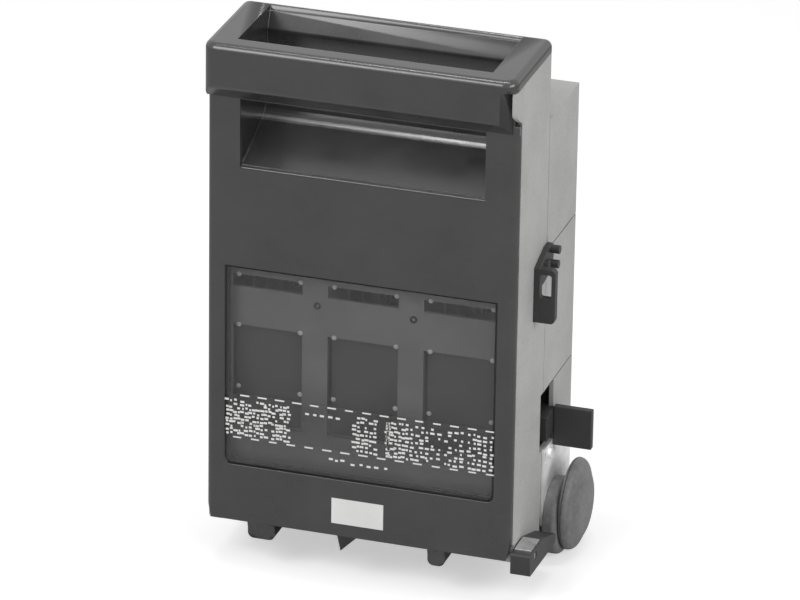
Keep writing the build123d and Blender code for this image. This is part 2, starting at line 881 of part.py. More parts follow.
def terminal_bolts():
    head_height = 6.4
    shank_beyond_bar = 16.0
    head_back = contact_front - washer_thickness
    bolts = []
    for x, z in palm_places:
        bolt = hexagon_y(head_back - head_height, head_back, x, z)
        bolts.append(bolt + rod_y(bolt_radius, head_back, bar_back + shank_beyond_bar, x, z))
    return group(bolts)


def terminal_washers():
    washer_radius = 10.0
    washers = []
    for x, z in palm_places:
        washer = rod_y(washer_radius, contact_front - washer_thickness, contact_front, x, z)
        washers.append(washer - rod_y(bolt_radius, 0, base_back, x, z))
    return group(washers)


def terminal_nuts():
    nut_height = 8.0
    nuts = []
    for x, z in palm_places:
        nut = hexagon_y(bar_back, bar_back + nut_height, x, z)
        nuts.append(nut - rod_y(bolt_radius, 0, base_back, x, z))
    return group(nuts)


def frame_screws():
    head_height = 2.6
    head_radius = 3.8
    shank_beyond_frame = 13.0
    head_back = frame_back - frame_pad
    screws = []
    for x, z in frame_screw_places:
        screw = rod_y(frame_screw_radius, head_back, frame_back + shank_beyond_frame, x, z)
        screws.append(screw + rod_y(head_radius, head_back - head_height, head_back, x, z))
    return group(screws)


# Arc chambers above the upper jaws, with steel splitter plates
def arc_chamber(x):
    """Insulating hood over one upper jaw, open below and to the back."""
    rail_z = (chamber_z[0] + 5.0, chamber_z[0] + 11.0)
    inner_half = chamber_half_width - chamber_wall
    room_y = (chamber_y[0] - past, chamber_y[1] + past)
    hood = slab(around(x, chamber_half_width), chamber_y, chamber_z)
    hood -= slab(around(x, inner_half), room_y, (0, chamber_z[1] - chamber_wall))
    for side in (-1, 1):
        near = chamber_half_width - chamber_wall / 3
        far = pole_pitch / 2 - partition_thickness / 2 - moving_gap
        if abs(x + side * far) > inner_half_width:
            far = inner_half_width - abs(x)
        rail_x = on_side(side, near, far)
        hood += Pos(x, 0, 0) * slab(rail_x, (frame_back + 1.0, chamber_y[1]), rail_z)
    return hood


def arc_plates():
    """Splitter plates with a notch over the path of the blade."""
    end_gap = 3.0
    notch = 5.0
    low = chamber_z[1] - chamber_wall - splitter_height
    high = chamber_z[1] - chamber_wall
    half = chamber_half_width - chamber_wall
    run = chamber_y[1] - chamber_y[0] - 2 * end_gap - splitter_thickness
    outline = Polygon(
        (-half, low),
        (-notch, low),
        (0, low + notch),
        (notch, low),
        (half, low),
        (half, high),
        (-half, high),
        align=None,
    )
    plates = []
    for x in pole_places:
        for i in range(splitter_count):
            y = chamber_y[0] + end_gap + i * run / (splitter_count - 1)
            plates.append(Pos(x, 0, 0) * along_y(outline, y, y + splitter_thickness))
    return group(plates)


# Right side: padlock eye, bracket, rounded cap and auxiliary switch
def padlock_eye():
    """Slotted eye plate that stands out of the side wall, on an arm along the wall."""
    corner = 3.0
    points = [
        (half_width, eye_z[0]),
        (half_width + eye_reach, eye_z[0]),
        (half_width + eye_reach, eye_z[1]),
        (half_width, eye_z[1]),
    ]
    slot_x = (half_width + eye_slot_x[0], half_width + eye_slot_x[1])
    plate = outline_of(points, [0, corner, corner, 0]) - rounded_area(slot_x, eye_slot_z, 1.5)
    arm_points = [
        (eye_y[0], eye_z[1] - 12.0),
        (eye_y[1] + 4.0, eye_z[1] - 14.0),
        (eye_y[1] + 22.0, eye_z[1] - 11.0),
        (eye_y[1] + 26.0, eye_z[1] - 4.0),
        (eye_y[1] + 25.0, eye_z[1] + 6.5),
        (eye_y[1] + 15.0, eye_z[1] + 6.5),
        (eye_y[0], eye_z[1]),
    ]
    arm_outline = outline_of(arm_points, [1.0, 3.0, 4.0, 3.0, 3.0, 6.0, 1.0])
    eye = along_y(plate, *eye_y) + along_x(arm_outline, half_width, half_width + eye_arm_thickness)
    knob_radius = 2.7
    knob_reach = 9.5
    for y, z in eye_knob_places:
        eye += rod_x(knob_radius, half_width, half_width + knob_reach, y, z)
    return eye - rod_x(side_screw_radius, half_width - past, width, *eye_screw_place)


def padlock_screw():
    head_radius = 3.6
    head_height = 2.2
    head_low = half_width + eye_arm_thickness
    screw = rod_x(side_screw_radius, half_width, head_low, *eye_screw_place)
    return screw + rod_x(head_radius, head_low, head_low + head_height, *eye_screw_place)


def side_bracket():
    slot_half = 2.2
    outline = rounded_area(bracket_y, bracket_z, 2.0)
    for y in (68.5, 88.0):
        outline -= rounded_area(around(y, slot_half), (bracket_z[1] - 10.8, bracket_z[1] - 2.8), 1.5)
    for y, z in bracket_screw_places:
        outline -= Pos(y, z) * Circle(side_screw_radius)
    return along_x(outline, half_width, bracket_face)


def turned_x(points, radii, start, centre):
    """Round piece with its half section given as (out, away from the wall)."""
    turned = revolve(Plane.XZ * outline_of(points, radii), Axis.Z)
    return Location((start, *centre), (0, 90, 0)) * turned


def side_cap():
    """Blunt dome on the drum."""
    points = [
        (0, 0),
        (cap_radius - 0.5, 0),
        (cap_radius, cap_height * 0.5),
        (cap_radius - 12.0, cap_height),
        (0, cap_height),
    ]
    return turned_x(points, [0, 2.5, 5.0, 8.0, 0], bracket_face + drum_height, cap_centre)


def side_cap_ring():
    """Smaller drum under the dome; the roundings of the two make a crease."""
    points = [(0, 0), (drum_radius, 0), (drum_radius, drum_height), (0, drum_height)]
    return turned_x(points, [0, 1.0, 4.0, 0], bracket_face, drum_centre)


def bracket_screws():
    head_radius = 3.4
    head_height = 1.8
    screws = []
    for y, z in bracket_screw_places:
        screw = rod_x(side_screw_radius, half_width, bracket_face, y, z)
        screws.append(screw + rod_x(head_radius, bracket_face, bracket_face + head_height, y, z))
    return group(screws)


def switch_housing():
    """Switch body on the bracket, with a wider flange over the edge of the cut-out."""
    lid_line = 0.8
    lid_z = 62.0
    body_inset = 1.3
    body_x = (bracket_face, bracket_face + switch_reach)
    body_y = (cutout_y[1], cutout_y[1] + switch_depth)
    body_z = (flange_z[0] + body_inset, flange_z[1] - body_inset)
    flange_x = (bracket_face, bracket_face + flange_reach)
    flange_outline = rounded_area(flange_x, flange_z, 1.5)
    housing = along_z(area(body_x, body_y), *body_z)
    housing -= slab((body_x[1] - lid_line, width), (body_y[0] + 2.0, base_back), (lid_z, lid_z + lid_line))
    return housing + along_y(flange_outline, cutout_y[1] - flange_thickness, cutout_y[1])


def switch_guide():
    """Block in the side cut-out with the bore of the plunger and the seat of its spring."""
    seat_x = (guide_x[0], inner_half_width - fit_gap)
    block = slab(guide_x, guide_y, guide_z)
    block += slab(seat_x, (guide_y[1], guide_y[1] + guide_wall), guide_z)
    block -= rod_y(plunger_radius + running_gap, guide_y[0] - past, guide_y[1] - past, plunger_x, plunger_z)
    return block - rod_y(spring_room_radius, guide_y[0] + guide_wall, guide_y[1], plunger_x, plunger_z)


def switch_plunger():
    tip_inset = 0.8
    tip_height = 1.0
    shoulder_y = plunger_tip_y + tip_height
    collar_y = guide_y[0] + guide_wall + moving_gap
    collar_end = collar_y + plunger_collar_thickness
    rod = rod_y(plunger_radius, shoulder_y, collar_end, plunger_x, plunger_z)
    tip = rod_y(plunger_radius - tip_inset, plunger_tip_y, shoulder_y, plunger_x, plunger_z)
    return rod + tip + rod_y(plunger_collar_radius, collar_y, collar_end, plunger_x, plunger_z)


def switch_spring():
    start = guide_y[0] + guide_wall + moving_gap + plunger_collar_thickness + moving_gap
    turns = 5
    wire = 0.35
    radius = 3.0
    length = guide_y[1] - start - 2 * wire
    path = Helix(length / turns, length, radius)
    coil = sweep(Plane(path @ 0, z_dir=path % 0) * Circle(wire), path=path)
    return Location((plunger_x, start + wire, plunger_z), (-90, 0, 0)) * coil


def main():
    os.makedirs("parts", exist_ok=True)
    store("cover", cover())
    store("grip_catch", grip_catch())
    store("viewing_pane", viewing_pane())
    store("pane_gasket", pane_gasket())
    store("rating_plate", rating_plate())
    store("name_label", name_label())
    store("fuse_grid", fuse_grid())
    store("grid_rivets", grid_rivets())
    store("probe_plugs", probe_plugs())
    store("fuse_claws", fuse_claws())
    for name, x in zip(pole_names, pole_places):
        store(f"fuse_body_{name}", fuse_body(x))
        store(f"fuse_caps_{name}", fuse_caps(x))
        store(f"arc_chamber_{name}", arc_chamber(x))
    store("fuse_blades", fuse_blades())
    store("fuse_indicators", fuse_indicators())
    store("hinge_shaft", hinge_shaft())
    store("switch_arm", switch_arm())
    store("arm_plate", arm_plate())
    store("front_frame", front_frame())
    store("rear_base", rear_base())
    store("pole_partitions", pole_partitions())
    store("mounting_bushes", mounting_bushes())
    store("terminal_cover_top", terminal_cover_top())
    store("terminal_cover_bottom", terminal_cover_bottom())
    store("upper_contact_bars", contact_bars(upper_bar_z, upper_palm_z))
    store("lower_contact_bars", contact_bars(lower_bar_z, lower_palm_z))
    store("upper_jaws", contact_jaws(upper_jaw_z))
    store("lower_jaws", contact_jaws(lower_jaw_z))
    store("jaw_springs", jaw_springs())
    store("contact_screws", contact_screws())
    store("terminal_bolts", terminal_bolts())
    store("terminal_washers", terminal_washers())
    store("terminal_nuts", terminal_nuts())
    store("frame_screws", frame_screws())
    store("arc_plates", arc_plates())
    store("padlock_eye", padlock_eye())
    store("padlock_screw", padlock_screw())
    store("side_bracket", side_bracket())
    store("bracket_screws", bracket_screws())
    store("side_cap", side_cap())
    store("side_cap_ring", side_cap_ring())
    store("switch_housing", switch_housing())
    store("switch_guide", switch_guide())
    store("switch_plunger", switch_plunger())
    store("switch_spring", switch_spring())


main()
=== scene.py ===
import math

import bmesh
import bpy
from mathutils import Matrix, Vector


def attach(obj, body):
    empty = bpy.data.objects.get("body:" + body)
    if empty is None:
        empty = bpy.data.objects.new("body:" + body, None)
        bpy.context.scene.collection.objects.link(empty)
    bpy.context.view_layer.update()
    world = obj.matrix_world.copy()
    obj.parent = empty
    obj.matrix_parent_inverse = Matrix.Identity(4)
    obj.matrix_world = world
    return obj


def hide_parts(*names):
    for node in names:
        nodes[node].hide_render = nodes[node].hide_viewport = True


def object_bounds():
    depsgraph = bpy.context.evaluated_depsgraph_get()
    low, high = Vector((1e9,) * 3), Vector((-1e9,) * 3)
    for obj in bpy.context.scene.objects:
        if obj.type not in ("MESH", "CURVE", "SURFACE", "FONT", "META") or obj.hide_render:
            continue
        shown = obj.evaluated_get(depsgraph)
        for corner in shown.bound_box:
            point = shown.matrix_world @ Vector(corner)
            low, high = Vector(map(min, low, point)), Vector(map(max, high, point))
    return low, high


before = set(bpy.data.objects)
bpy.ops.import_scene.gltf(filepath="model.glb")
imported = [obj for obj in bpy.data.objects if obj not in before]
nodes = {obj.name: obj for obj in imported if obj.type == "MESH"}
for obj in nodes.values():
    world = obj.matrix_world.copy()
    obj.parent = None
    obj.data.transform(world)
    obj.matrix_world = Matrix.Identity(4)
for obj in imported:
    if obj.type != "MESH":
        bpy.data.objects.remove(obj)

cad_low, cad_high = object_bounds()


# Housing: front frame, rear base and the two terminal covers
# Light-grey thermoset mouldings with a fine matt grain. The frame is screwed to the base
# from inside, and the covers snap on above and below the middle of the base.
def add_node(tree, kind, inputs=None, **settings):
    """Adds a node with its settings; each input is given a value or a link."""
    node = tree.nodes.new(kind)
    for name, value in settings.items():
        setattr(node, name, value)
    for name, value in (inputs or {}).items():
        if isinstance(value, bpy.types.NodeSocket):
            tree.links.new(value, node.inputs[name])
        else:
            node.inputs[name].default_value = value
    return node


def maths(tree, operation, first, second, clamp=False):
    """Adds a maths node and returns its result."""
    numbers = {0: first, 1: second}
    return add_node(tree, "ShaderNodeMath", numbers, operation=operation, use_clamp=clamp).outputs[0]


def shader_group(name, inputs, outputs):
    """Empty node group with float inputs and the named outputs; returns tree, inputs, outputs."""
    tree = bpy.data.node_groups.new(name, "ShaderNodeTree")
    for label, value in inputs.items():
        socket = tree.interface.new_socket(name=label, in_out="INPUT", socket_type="NodeSocketFloat")
        socket.default_value = value
    for label, kind in outputs.items():
        tree.interface.new_socket(name=label, in_out="OUTPUT", socket_type="NodeSocket" + kind)
    return tree, tree.nodes.new("NodeGroupInput").outputs, tree.nodes.new("NodeGroupOutput").inputs


def use_group(tree, group, **inputs):
    """Places a shader group in a material with values of its own."""
    node = tree.nodes.new("ShaderNodeGroup")
    node.node_tree = group
    for name, value in inputs.items():
        node.inputs[name.replace("_", " ")].default_value = value
    return node


def grain_group():
    """Fine moulding grain for the bump, and a slow drift of tone for colour and gloss."""
    tree, given, made = shader_group(
        "moulded_grain",
        {"Grain Size": 0.0006, "Drift Size": 0.04},
        {"Height": "Float", "Drift": "Float"},
    )
    place = add_node(tree, "ShaderNodeTexCoord").outputs["Object"]
    grain_scale = maths(tree, "DIVIDE", 1.0, given["Grain Size"])
    drift_scale = maths(tree, "DIVIDE", 1.0, given["Drift Size"])
    grain = add_node(tree, "ShaderNodeTexNoise", {"Vector": place, "Scale": grain_scale, "Detail": 3.0})
    drift = add_node(tree, "ShaderNodeTexNoise", {
        "Vector": place, "Scale": drift_scale, "Detail": 5.0, "Roughness": 0.6,
    })
    tree.links.new(grain.outputs["Fac"], made["Height"])
    tree.links.new(drift.outputs["Fac"], made["Drift"])
    return tree


def edge_group():
    """Rounded normals along sharp edges, and a broken mask of the wear on them."""
    tree, given, made = shader_group(
        "edge_wear",
        {"Edge Radius": 0.0006, "Breakup Size": 0.004},
        {"Wear": "Float", "Normal": "Vector"},
    )
    bend_gain = 4.0
    rounded = add_node(tree, "ShaderNodeBevel", {"Radius": given["Edge Radius"]}, samples=6).outputs["Normal"]
    plain = add_node(tree, "ShaderNodeNewGeometry").outputs["Normal"]
    turn = add_node(tree, "ShaderNodeVectorMath", {0: rounded, 1: plain}, operation="DOT_PRODUCT")
    bend = maths(tree, "SUBTRACT", 1.0, turn.outputs["Value"])
    bend = maths(tree, "MULTIPLY", bend, bend_gain, clamp=True)
    place = add_node(tree, "ShaderNodeTexCoord").outputs["Object"]
    breakup_scale = maths(tree, "DIVIDE", 1.0, given["Breakup Size"])
    breakup = add_node(tree, "ShaderNodeTexNoise", {"Vector": place, "Scale": breakup_scale, "Detail": 4.0})
    broken = maths(tree, "MULTIPLY", bend, breakup.outputs["Fac"], clamp=True)
    tree.links.new(broken, made["Wear"])
    tree.links.new(rounded, made["Normal"])
    return tree


moulded_grain = grain_group()
edge_wear = edge_group()


def mix_colour(tree, factor, first, second):
    """Mixes two colours, each a link or plain red, green and blue."""
    # The node's colour sockets share their names with others, so they go by number.
    first_colour, second_colour, result = 6, 7, 2
    inputs = {"Factor": factor}
    for socket, value in ((first_colour, first), (second_colour, second)):
        inputs[socket] = value if isinstance(value, bpy.types.NodeSocket) else (*value, 1.0)
    return add_node(tree, "ShaderNodeMix", inputs, data_type="RGBA").outputs[result]


def spread(tree, value, low, high):
    """Stretches a mask of 0.3 to 0.7 over the given values."""
    limits = {"Value": value, "From Min": 0.3, "From Max": 0.7, "To Min": low, "To Max": high}
    return add_node(tree, "ShaderNodeMapRange", limits).outputs["Result"]


def new_material(name):
    """Material with a Principled surface; returns the material, its tree and the surface's inputs."""
    material = bpy.data.materials.new(name)
    material.use_nodes = True
    tree = material.node_tree
    return material, tree, tree.nodes["Principled BSDF"].inputs


def plastic(name, dark, light, worn, roughness, grain_size, grain_depth, edge_radius, gloss=0.5, fleck=0.0):
    """Moulded plastic: drift and flecks of tone, worn edges, grain in the bump, drift in the gloss."""
    material, tree, surface = new_material(name)
    grain = use_group(tree, moulded_grain, Grain_Size=grain_size).outputs
    edges = use_group(tree, edge_wear, Edge_Radius=edge_radius).outputs
    flecks = maths(tree, "SUBTRACT", grain["Height"], 0.5)
    flecks = maths(tree, "MULTIPLY", flecks, fleck)
    tone = maths(tree, "ADD", spread(tree, grain["Drift"], 0.0, 1.0), flecks, clamp=True)
    colour = mix_colour(tree, tone, dark, light)
    colour = mix_colour(tree, edges["Wear"], colour, worn)
    tree.links.new(colour, surface["Base Color"])
    tree.links.new(spread(tree, grain["Drift"], *roughness), surface["Roughness"])
    bump = add_node(tree, "ShaderNodeBump", {
        "Height": grain["Height"],
        "Distance": grain_depth,
        "Strength": 0.6,
        "Normal": edges["Normal"],
    })
    tree.links.new(bump.outputs["Normal"], surface["Normal"])
    surface["Specular IOR Level"].default_value = gloss
    return material


def finish_nodes(material, *names):
    """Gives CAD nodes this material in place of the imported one."""
    for name in names:
        slots = nodes[name].data.materials
        slots.clear()
        slots.append(material)


grey_moulding = plastic(
    "grey_moulding",
    dark=(0.375, 0.375, 0.37),
    light=(0.455, 0.455, 0.45),
    worn=(0.5, 0.5, 0.49),
    roughness=(0.55, 0.7),
    grain_size=0.0016,
    grain_depth=0.0001,
    edge_radius=0.0006,
    fleck=1.6,
)
finish_nodes(grey_moulding, "front_frame", "rear_base", "terminal_cover_top", "terminal_cover_bottom")


# Swinging cover: front plate, grip collar, ring and well in one black moulding
# Injection-moulded black thermoplastic with a satin gloss; the catch is a clip of its own.
# The moulding is cut here for the wing, the collar's rounded end and the gap to the frame.
black_moulding = plastic(
    "black_moulding",
    dark=(0.02, 0.02, 0.021),
    light=(0.033, 0.033, 0.034),
    worn=(0.09, 0.09, 0.09),
    roughness=(0.17, 0.26),
    grain_size=0.0009,
    grain_depth=0.00002,
    edge_radius=0.0009,
    gloss=0.8,
)
finish_nodes(black_moulding, "grip_catch")


def device_place(x, y, z):
    """Turns a place in metres, from the cover's middle, front and lower edge, into the frame's."""
    front_to_back = 0.129
    edge_to_middle = 0.12725
    return Vector((x, y - front_to_back, z - edge_to_middle))


def new_object(name, data):
    """Object at the origin, linked into the scene."""
    thing = bpy.data.objects.new(name, data)
    bpy.context.scene.collection.objects.link(thing)
    return thing


def new_piece(name, mesh, material):
    """Object of one mesh in one material."""
    mesh.materials.clear()
    mesh.materials.append(material)
    return new_object(name, mesh)


def prism(name, outline, low, high, upright):
    """Closed mesh of one outline: upright ones from z low to high, others from x low to high."""
    mesh = bpy.data.meshes.new(name)
    shape = bmesh.new()
    ends = []
    for far in (low, high):
        corners = [(a, b, far) if upright else (far, a, b) for a, b in outline]
        ends.append([shape.verts.new(device_place(*corner)) for corner in corners])
    shape.faces.new(ends[0])
    shape.faces.new(ends[1])
    count = len(outline)
    for step in range(count):
        after = (step + 1) % count
        shape.faces.new((ends[0][step], ends[0][after], ends[1][after], ends[1][step]))
    bmesh.ops.recalc_face_normals(shape, faces=shape.faces)
    shape.to_mesh(mesh)
    shape.free()
    return mesh


def rectangle(first, second):
    """Outline between two values of the first measure and two of the second."""
    return [(first[0], second[0]), (first[1], second[0]), (first[1], second[1]), (first[0], second[1])]


def arc(centre, radius, start, end, steps=12):
    """Points on an arc between two angles in degrees."""
    angles = [math.radians(start + (end - start) * step / steps) for step in range(steps + 1)]
    return [(centre[0] + radius * math.cos(turn), centre[1] + radius * math.sin(turn)) for turn in angles]


def cut_away(source, cutters):
    """New mesh of the source less the cutting meshes, with its double corners joined first."""
    join_distance = 0.000001
    mesh = source.copy()
    shape = bmesh.new()
    shape.from_mesh(mesh)
    bmesh.ops.remove_doubles(shape, verts=shape.verts, dist=join_distance)
    shape.to_mesh(mesh)
    shape.free()
    holder = new_object("cut_source", mesh)
    tools = [new_object(cutter.name, cutter) for cutter in cutters]
    for tool in tools:
        cut = holder.modifiers.new(tool.name, "BOOLEAN")
        cut.object = tool
        cut.operation = "DIFFERENCE"
        cut.solver = "EXACT"
    depsgraph = bpy.context.evaluated_depsgraph_get()
    result = bpy.data.meshes.new_from_object(holder.evaluated_get(depsgraph))
    for spare in (holder, *tools):
        bpy.data.objects.remove(spare)
    return result


collar_front = -0.0108
collar_right = 0.0967
collar_end_radius = 0.015
collar_z = (0.27, 0.3165)
cover_back = 0.0056
wing_room_y = (-0.001, cover_back)
wing_room_foot = 0.2917
cover_gap_x = (0.094, 0.102)
cover_gap_y = (0.0044, cover_back)
past_side = 0.103
past_front = -0.013
past_foot = -0.001
sharp_angle = math.radians(25)
round_centre = (collar_right - collar_end_radius, collar_front + collar_end_radius)
# The rounded end starts where it leaves the plane of the front plate.
first_turn = -math.degrees(math.asin(round_centre[1] / collar_end_radius))
round_end = arc(round_centre, collar_end_radius, first_turn, -90.0)
round_end += [(round_centre[0], past_front), (past_side, past_front), (past_side, 0.0)]
collar_end_room = rectangle((collar_right, past_side), (past_front, 0.0))
wing_room = rectangle((collar_right, past_side), wing_room_y)
gap_right = rectangle(cover_gap_x, cover_gap_y)
gap_left = rectangle((-cover_gap_x[1], -cover_gap_x[0]), cover_gap_y)
cover_mesh = cut_away(nodes["cover"].data, [
    prism("collar_end_room", collar_end_room, *collar_z, upright=True),
    prism("wing_room", wing_room, wing_room_foot, collar_z[1], upright=True),
    prism("round_end", round_end, *collar_z, upright=True),
    prism("gap_right", gap_right, past_foot, wing_room_foot, upright=True),
    prism("gap_left", gap_left, past_foot, collar_z[1], upright=True),
])
cover_mesh.shade_smooth()
cover_mesh.set_sharp_from_angle(angle=sharp_angle)
cover_piece = new_piece("cover_moulding", cover_mesh, black_moulding)
weighted = cover_piece.modifiers.new("flat_faces_first", "WEIGHTED_NORMAL")
weighted.keep_sharp = True
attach(cover_piece, "swing_cover")
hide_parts("cover")


# Wing of the right side wall beside the collar, and painted shade in the seams of the base
# The wing is part of the grey frame; the painted shade is thin near-black strips that lie deep in the
# horizontal grooves and darken them as their shade would.
wing_x = (0.097, 0.1)
wing_front = -0.007
wing_foot = 0.292
wing_top = 0.316
wing_top_front = 0.3156
wing_round = 0.005
wing_round_z = 0.303
wing_outline = [(cover_back, wing_top), (wing_front, wing_top_front)]
wing_outline += arc((wing_front + wing_round, wing_round_z), wing_round, 180.0, 245.0)
wing_outline += [(cover_back, wing_foot)]
wing_mesh = prism("frame_wing", wing_outline, *wing_x, upright=False)
wing = new_piece("frame_wing", wing_mesh, grey_moulding)
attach(wing, "housing")
# Near-black material of the seam strips: painted shade for the horizontal grooves.
seam_shade_black = plastic(
    "seam_shade_black",
    dark=(0.008, 0.008, 0.008),
    light=(0.015, 0.015, 0.015),
    worn=(0.02, 0.02, 0.02),
    roughness=(0.8, 0.9),
    grain_size=0.0005,
    grain_depth=0.00002,
    edge_radius=0.0002,
)
seam_shade_x = {"left": (-0.09985, -0.0994), "right": (0.0994, 0.09985)}
seam_shade_y = (0.066, 0.1285)
seam_shade_z = {"upper": (0.1837, 0.1845), "lower": (0.087, 0.0878)}
# Painted shade: one near-black strip in each horizontal seam, on each side of the base.
for side, across in seam_shade_x.items():
    for row, heights in seam_shade_z.items():
        name = f"seam_shade_strip_{row}_{side}"
        shade_strip_mesh = prism(name, rectangle(seam_shade_y, heights), *across, upright=False)
        shade_strip = new_piece(name, shade_strip_mesh, seam_shade_black)
        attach(shade_strip, "housing")


# Viewing pane with its gasket
# Smoke-tinted clear sheet, a couple of millimetres thick, held by a thin rubber gasket.
def clear_sheet(name, haze, dark, light):
    """See-through plastic sheet; haze is how much of what lies behind it the sheet hides."""
    material, tree, surface = new_material(name)
    roughness = (0.04, 0.12)
    drift = use_group(tree, moulded_grain, Grain_Size=0.003, Drift_Size=0.03).outputs["Drift"]
    tree.links.new(spread(tree, drift, *haze), surface["Alpha"])
    tree.links.new(spread(tree, drift, *roughness), surface["Roughness"])
    tint = mix_colour(tree, spread(tree, drift, 0.0, 1.0), dark, light)
    tree.links.new(tint, surface["Base Color"])
    return material


smoky_sheet = clear_sheet(
    "smoky_sheet",
    haze=(0.25, 0.32),
    dark=(0.085, 0.085, 0.087),
    light=(0.11, 0.11, 0.112),
)
finish_nodes(smoky_sheet, "viewing_pane")
rubber = plastic(
    "rubber",
    dark=(0.02, 0.02, 0.02),
    light=(0.035, 0.035, 0.035),
    worn=(0.06, 0.06, 0.06),
    roughness=(0.6, 0.8),
    grain_size=0.0004,
    grain_depth=0.00003,
    edge_radius=0.0003,
)
finish_nodes(rubber, "pane_gasket")


# Dark fittings: claws, plugs, padlock eye and the parts of the switch
# Small black mouldings with a matt grain, clipped or screwed in their places.
dark_fitting = plastic(
    "dark_fitting",
    dark=(0.022, 0.022, 0.022),
    light=(0.036, 0.036, 0.036),
    worn=(0.12, 0.12, 0.12),
    roughness=(0.45, 0.6),
    grain_size=0.0006,
    grain_depth=0.00005,
    edge_radius=0.0005,
)
finish_nodes(
    dark_fitting, "fuse_claws", "probe_plugs", "padlock_eye", "padlock_screw", "switch_guide",
    "switch_plunger",
)


# Fuse grid behind the pane
# Moulded plate with a low and a tall window for each pole. Its windows are wider than the
# CAD grid's, and stand a little to the left as in the photograph.
grid_plate = plastic(
    "grid_plate",
    dark=(0.25, 0.25, 0.25),
    light=(0.32, 0.32, 0.32),
    worn=(0.36, 0.36, 0.36),
    roughness=(0.5, 0.65),
    grain_size=0.0008,
    grain_depth=0.00005,
    edge_radius=0.0004,
)
pole_count = 3
pole_pitch = 0.0625
grid_half_width = 0.0895
grid_y = (0.011, 0.0135)
grid_z = (0.0345, 0.1802)
upper_window_z = (0.156, 0.1643)
lower_window_z = (0.062, 0.13)
window_width = 0.046
window_shift = -0.0015


def new_tree(name, sizes):
    """Geometry node tree with the named inputs; returns tree, inputs, outputs."""
    tree = bpy.data.node_groups.new(name, "GeometryNodeTree")
    for label, kind in {**sizes, "Finish": "Material"}.items():
        tree.interface.new_socket(name=label, in_out="INPUT", socket_type="NodeSocket" + kind)
    tree.interface.new_socket(name="Geometry", in_out="OUTPUT", socket_type="NodeSocketGeometry")
    return tree, tree.nodes.new("NodeGroupInput").outputs, tree.nodes.new("NodeGroupOutput").inputs


def end_tree(tree, geometry, given, made):
    """Ends a tree: copies become real geometry, in the material that the tree is given."""
    whole = add_node(tree, "GeometryNodeRealizeInstances", {"Geometry": geometry}).outputs["Geometry"]
    ready = add_node(tree, "GeometryNodeSetMaterial", {"Geometry": whole, "Material": given["Finish"]})
    tree.links.new(ready.outputs["Geometry"], made["Geometry"])


def built_mesh(tree, values):
    """Runs a geometry node tree with its values into a plain mesh."""
    holder = new_object(tree.name, bpy.data.meshes.new(tree.name))
    modifier = holder.modifiers.new("maker", "NODES")
    modifier.node_group = tree
    for item in tree.interface.items_tree:
        if item.in_out == "INPUT":
            modifier[item.identifier] = values[item.name]
    ready = holder.evaluated_get(bpy.context.evaluated_depsgraph_get())
    mesh = bpy.data.meshes.new_from_object(ready)
    bpy.data.objects.remove(holder)
    return mesh


def built_piece(name, meshes, material, body):
    """Joins meshes into one piece of one material that rides on a body."""
    whole = bpy.data.meshes.new(name)
    shape = bmesh.new()
    for mesh in meshes:
        shape.from_mesh(mesh)
        bpy.data.meshes.remove(mesh)
    for face in shape.faces:
        face.material_index = 0
    shape.to_mesh(whole)
    shape.free()
    piece = new_piece(name, whole, material)
    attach(piece, body)
    return piece


def grid_tree():
    """Plate less two rows of windows, one window of each row for each pole."""
    tree, given, made = new_tree("windowed_plate", {
        "Low": "Vector", "High": "Vector", "Pitch": "Float", "Shift": "Float", "Window Width": "Float",
        "Upper Foot": "Float", "Upper Top": "Float", "Lower Foot": "Float", "Lower Top": "Float",
    })
    cutter_depth = 0.01
    ends = {0: given["High"], 1: given["Low"]}
    size = add_node(tree, "ShaderNodeVectorMath", ends, operation="SUBTRACT").outputs[0]
    total = add_node(tree, "ShaderNodeVectorMath", ends, operation="ADD").outputs[0]
    middle = add_node(tree, "ShaderNodeVectorMath", {0: total, "Scale": 0.5}, operation="SCALE").outputs[0]
    block = add_node(tree, "GeometryNodeMeshCube", {"Size": size}).outputs["Mesh"]
    plate = add_node(tree, "GeometryNodeTransform", {"Geometry": block, "Translation": middle})
    depth = add_node(tree, "ShaderNodeSeparateXYZ", {"Vector": middle}).outputs["Y"]
    first_x = maths(tree, "SUBTRACT", given["Shift"], given["Pitch"])
    step = add_node(tree, "ShaderNodeCombineXYZ", {"X": given["Pitch"]}).outputs[0]
    cutters = add_node(tree, "GeometryNodeJoinGeometry")
    for row in ("Upper", "Lower"):
        foot, top = given[row + " Foot"], given[row + " Top"]
        tall = maths(tree, "SUBTRACT", top, foot)
        centre = maths(tree, "MULTIPLY", maths(tree, "ADD", top, foot), 0.5)
        start = add_node(tree, "ShaderNodeCombineXYZ", {"X": first_x, "Y": depth, "Z": centre}).outputs[0]
        places = add_node(tree, "GeometryNodeMeshLine", {
            "Count": pole_count, "Start Location": start, "Offset": step,
        })
        sizes = {"X": given["Window Width"], "Y": cutter_depth, "Z": tall}
        cutter_size = add_node(tree, "ShaderNodeCombineXYZ", sizes).outputs[0]
        cutter = add_node(tree, "GeometryNodeMeshCube", {"Size": cutter_size}).outputs["Mesh"]
        windows = add_node(tree, "GeometryNodeInstanceOnPoints", {
            "Points": places.outputs["Mesh"], "Instance": cutter,
        })
        whole = add_node(tree, "GeometryNodeRealizeInstances", {"Geometry": windows.outputs["Instances"]})
        tree.links.new(whole.outputs["Geometry"], cutters.inputs["Geometry"])
    cut = add_node(tree, "GeometryNodeMeshBoolean", operation="DIFFERENCE", solver="EXACT")
    tree.links.new(plate.outputs["Geometry"], cut.inputs["Mesh 1"])
    tree.links.new(cutters.outputs["Geometry"], cut.inputs["Mesh 2"])
    end_tree(tree, cut.outputs["Mesh"], given, made)
    return tree


